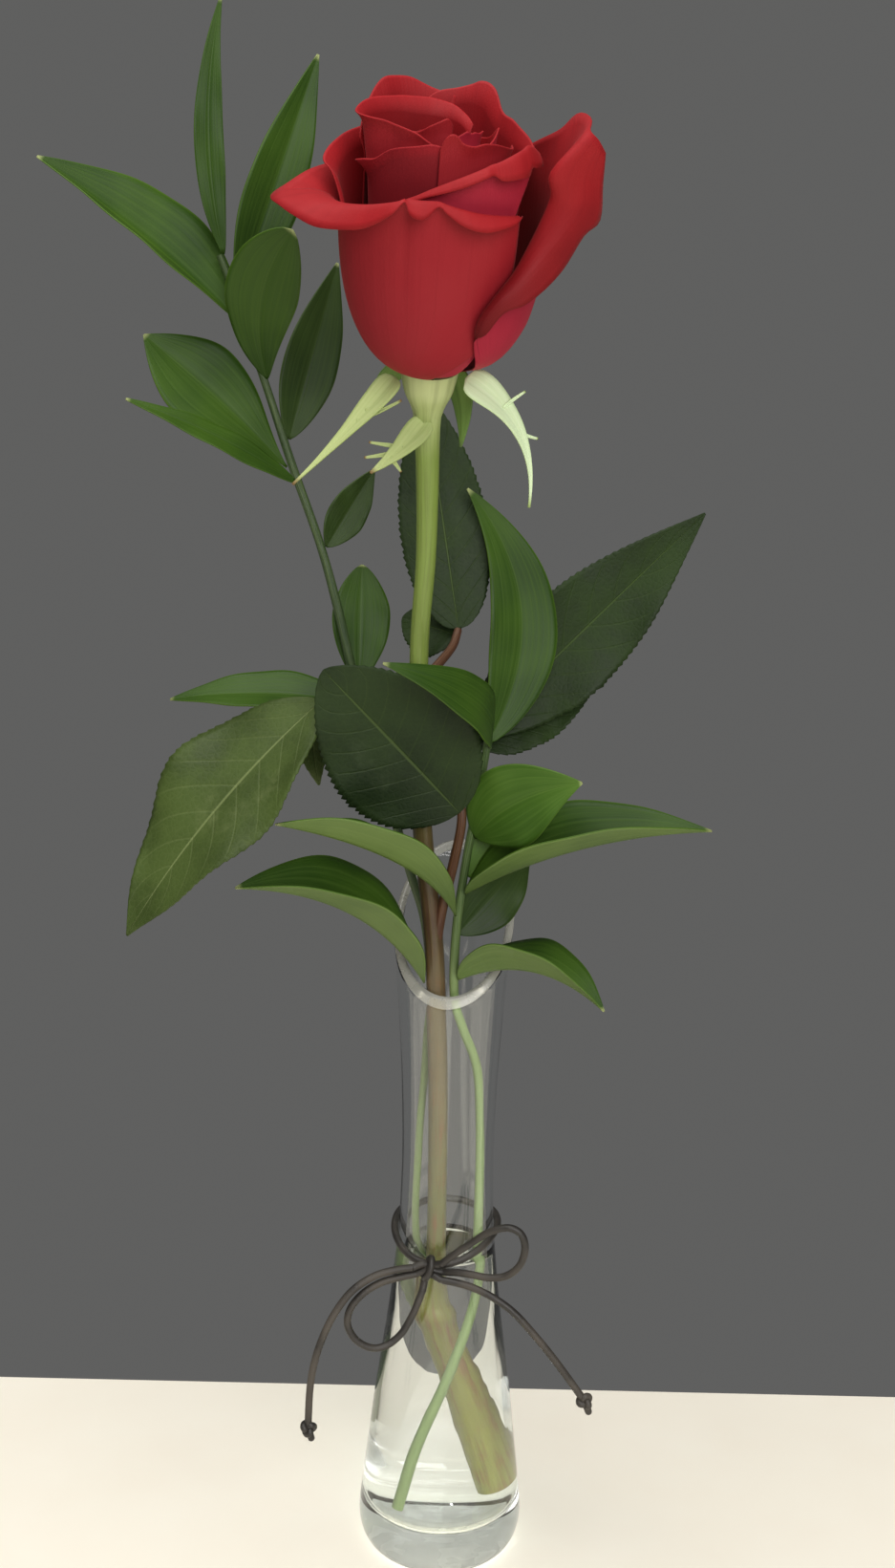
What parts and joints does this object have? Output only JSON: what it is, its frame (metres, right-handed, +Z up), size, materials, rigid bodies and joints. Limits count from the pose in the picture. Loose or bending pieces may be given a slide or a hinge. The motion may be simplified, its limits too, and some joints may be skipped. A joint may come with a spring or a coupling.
{
  "type": "rose in bud vase",
  "caption": "Cut red rose with two sprigs of green ruscus, standing in a narrow clear glass bud vase with a slanted mouth and a dark cord bow round its neck.",
  "frame": {"origin": "centre of the vase's foot, where it stands on the table", "axes": "+Z up along the vase; -Y towards the front, where the bow is tied and the flower leans"},
  "size_m": [0.1691, 0.1011, 0.4141],
  "materials": {
    "clear_glass": "polished",
    "water": "clear",
    "petal": "velvety petal",
    "sepal": "matte",
    "rose_leaf": "satin leaf",
    "ruscus_leaf": "waxy leaf",
    "rose_stem": "smooth green bark",
    "ruscus_stem": "smooth green bark",
    "waxed_cord": "waxed cord"
  },
  "bodies": {
    "root": {"bow_knot": "waxed_cord", "bow_loop_left": "waxed_cord", "bow_loop_right": "waxed_cord", "bow_tail_left": "waxed_cord", "bow_tail_right": "waxed_cord", "cord_ring": "waxed_cord", "leaflet_back": "rose_leaf", "leaflet_back_low": "rose_leaf", "leaflet_front": "rose_leaf", "leaflet_left": "rose_leaf", "leaflet_left_small": "rose_leaf", "leaflet_right": "rose_leaf", "leaflet_right_low": "rose_leaf", "petal_back": "petal", "petal_back_left": "petal", "petal_back_right": "petal", "petal_centre": "petal", "petal_front_right": "petal", "petal_inner_back": "petal", "petal_inner_front": "petal", "petal_inner_left": "petal", "petal_inner_right": "petal", "petal_left": "petal", "petal_outer_front": "petal", "petal_outer_right": "petal", "petal_whorl_back": "petal", "petal_whorl_front": "petal", "petal_whorl_left": "petal", "petal_whorl_right": "petal", "rose_stem": "rose_stem", "ruscus_leaf_b": "ruscus_leaf", "ruscus_leaf_c": "ruscus_leaf", "ruscus_leaf_d": "ruscus_leaf", "ruscus_leaf_e": "ruscus_leaf", "ruscus_leaf_f": "ruscus_leaf", "ruscus_leaf_g": "ruscus_leaf", "ruscus_leaf_h": "ruscus_leaf", "ruscus_leaf_i": "ruscus_leaf", "ruscus_leaf_j": "ruscus_leaf", "ruscus_leaf_k": "ruscus_leaf", "ruscus_leaf_l": "ruscus_leaf", "ruscus_leaf_m": "ruscus_leaf", "ruscus_leaf_n": "ruscus_leaf", "ruscus_leaf_o": "ruscus_leaf", "ruscus_leaf_p": "ruscus_leaf", "ruscus_leaf_q": "ruscus_leaf", "ruscus_leaf_r": "ruscus_leaf", "ruscus_leaf_s": "ruscus_leaf", "ruscus_leaf_tip": "ruscus_leaf", "ruscus_stem_left": "ruscus_stem", "ruscus_stem_right": "ruscus_stem", "sepal_back_left": "sepal", "sepal_back_right": "sepal", "sepal_front": "sepal", "sepal_left": "sepal", "sepal_right": "sepal", "tail_knot_left": "waxed_cord", "tail_knot_right": "waxed_cord", "vase": "clear_glass", "water": "water"}
  },
  "joints": []
}
